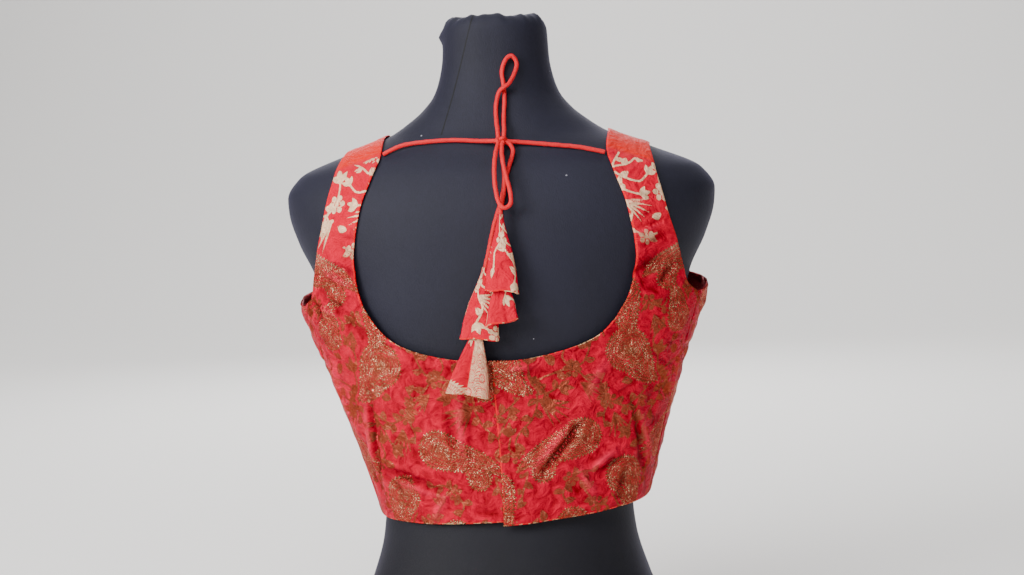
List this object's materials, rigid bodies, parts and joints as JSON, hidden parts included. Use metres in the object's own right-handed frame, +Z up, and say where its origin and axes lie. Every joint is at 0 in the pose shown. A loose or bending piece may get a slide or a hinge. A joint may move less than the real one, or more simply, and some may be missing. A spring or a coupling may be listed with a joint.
{
  "type": "choli blouse on a dress form",
  "caption": "Sleeveless brocade choli blouse with a deep round back, a back opening and a tie cord with hanging cones, worn on a limbless dress form.",
  "frame": {"origin": "centre of the whole part's base, on the surface that the form stands on", "axes": "+Z up; the wearer's front faces -Y, the open back faces +Y, and +X is the wearer's left"},
  "size_m": [0.3908, 0.2505, 0.612],
  "materials": {
    "form_cover": "fine black knit",
    "brocade": "crimson silk with woven gold",
    "tie_cord": "matte satin cord"
  },
  "bodies": {
    "root": {"dress_form": "form_cover", "blouse_back_left": "brocade", "blouse_back_right": "brocade", "blouse_front": "brocade", "cord_left": "tie_cord", "cord_right": "tie_cord", "bow_loop_up": "tie_cord", "bow_loop_down": "tie_cord", "tail_long": "tie_cord", "tail_short": "tie_cord", "bow_knot": "tie_cord", "short_cone_upper": "brocade", "short_cone_lower": "brocade", "long_cone_upper": "brocade", "long_cone_lower": "brocade"}
  },
  "joints": []
}
